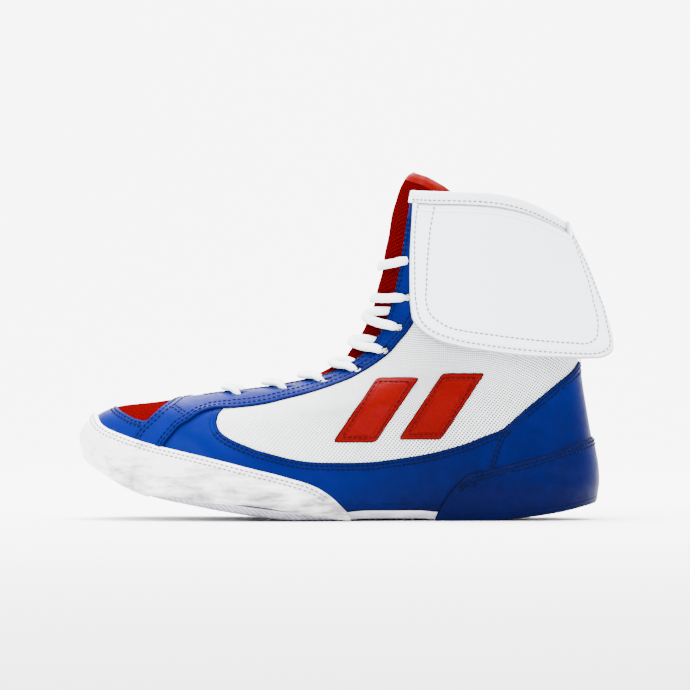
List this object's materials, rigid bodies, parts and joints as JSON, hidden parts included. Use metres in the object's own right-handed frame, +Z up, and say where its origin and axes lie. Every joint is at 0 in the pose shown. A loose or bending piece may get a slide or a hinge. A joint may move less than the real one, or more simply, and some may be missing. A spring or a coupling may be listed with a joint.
{
  "type": "boxing boot",
  "caption": "High boxing boot with a thin flat sole, rubber toe rand, laced throat, tongue and a white cuff turned down over the shaft.",
  "frame": {"origin": "centre of the boot's overall box, on the floor under the flat of the sole", "axes": "+Z up, -X towards the toe, +X towards the heel, -Y towards the outer side of the foot, +Y towards its inner side"},
  "size_m": [0.2952, 0.1064, 0.194],
  "materials": {
    "tread_rubber": "matte grey rubber with a herringbone tread",
    "rand_rubber": "satin off-white rubber, scuffed",
    "blue_leather": "smooth blue leather with a fine grain",
    "red_leather": "smooth red leather",
    "white_leather": "smooth white leather",
    "white_mesh": "white knitted mesh",
    "red_mesh": "red knitted mesh",
    "white_tape": "white woven tape",
    "lace_cord": "white braided lace",
    "lining": "white knitted lining",
    "insole_cloth": "dark blue cloth over foam",
    "thread": "sewing thread"
  },
  "bodies": {
    "root": {"outsole": "tread_rubber", "insole": "insole_cloth", "upper": "blue_leather", "tongue": "red_mesh", "toe_rand": "rand_rubber", "heel_wrap": "blue_leather", "collar_binding": "white_tape", "cuff_outer_side": "white_leather", "cuff_inner_side": "white_leather", "lace_cross_1": "lace_cord", "lace_cross_2": "lace_cord", "lace_cross_3": "lace_cord", "lace_cross_4": "lace_cord", "lace_cross_5": "lace_cord", "lace_cross_6": "lace_cord", "lace_bar_7": "lace_cord", "lace_bar_8": "lace_cord"}
  },
  "joints": []
}
